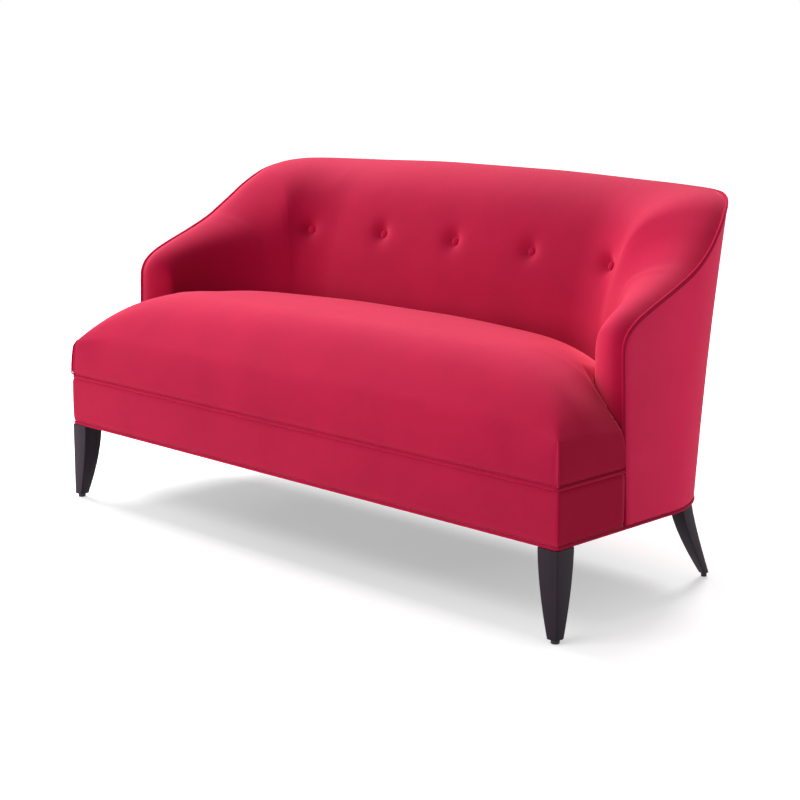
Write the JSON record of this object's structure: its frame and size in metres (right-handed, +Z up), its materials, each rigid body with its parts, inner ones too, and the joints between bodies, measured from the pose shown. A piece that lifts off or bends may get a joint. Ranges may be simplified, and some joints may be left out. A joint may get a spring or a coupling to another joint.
{
  "type": "high back settee",
  "caption": "Two-seat settee with arms that sweep up into a wrapped, button-tufted tight back, a domed seat and tapered legs.",
  "frame": {"origin": "middle of the settee's box, at the floor under its glides", "axes": "+X to the right of someone facing the settee and along its length, -Y to its front, +Z up"},
  "size_m": [1.5, 0.729, 0.7951],
  "materials": {
    "velvet": "short cut-pile velvet",
    "foam": "open-cell upholstery foam",
    "leg_wood": "dark stain under satin lacquer",
    "frame_wood": "planed, unfinished",
    "hessian": "plain woven",
    "dust_cloth": "matt, non-woven",
    "glide_plastic": "moulded",
    "steel": "bright drawn wire and rod"
  },
  "bodies": {
    "root": {"arm_back_welt": "velvet", "arm_foam_left": "foam", "arm_foam_right": "foam", "arm_post_left": "frame_wood", "arm_post_right": "frame_wood", "arm_rail_left": "frame_wood", "arm_rail_right": "frame_wood", "back_foam": "foam", "back_post_centre": "frame_wood", "back_post_left": "frame_wood", "back_post_right": "frame_wood", "back_rail": "frame_wood", "back_top_rail": "frame_wood", "base_welt": "velvet", "button_1": "velvet", "button_2": "velvet", "button_3": "velvet", "button_4": "velvet", "button_5": "velvet", "centre_rail": "frame_wood", "corner_post_left": "frame_wood", "corner_post_right": "frame_wood", "dust_cover": "dust_cloth", "front_band": "velvet", "front_corner_block_left": "frame_wood", "front_corner_block_right": "frame_wood", "front_glide_left": "glide_plastic", "front_glide_right": "glide_plastic", "front_leg_bolt_left": "steel", "front_leg_bolt_right": "steel", "front_leg_left": "leg_wood", "front_leg_right": "leg_wood", "front_rail": "frame_wood", "inside_cover": "velvet", "outside_arm_left": "velvet", "outside_arm_right": "velvet", "outside_back": "velvet", "rear_corner_block_left": "frame_wood", "rear_corner_block_right": "frame_wood", "rear_glide_left": "glide_plastic", "rear_glide_right": "glide_plastic", "rear_leg_bolt_left": "steel", "rear_leg_bolt_right": "steel", "rear_leg_left": "leg_wood", "rear_leg_right": "leg_wood", "seat_cover": "velvet", "seat_foam": "foam", "seat_spring_1": "steel", "seat_spring_2": "steel", "seat_spring_3": "steel", "seat_spring_4": "steel", "seat_spring_5": "steel", "seat_spring_6": "steel", "seat_spring_7": "steel", "seat_spring_8": "steel", "seat_welt": "velvet", "side_rail_left": "frame_wood", "side_rail_right": "frame_wood", "spring_cover": "hessian"}
  },
  "joints": []
}
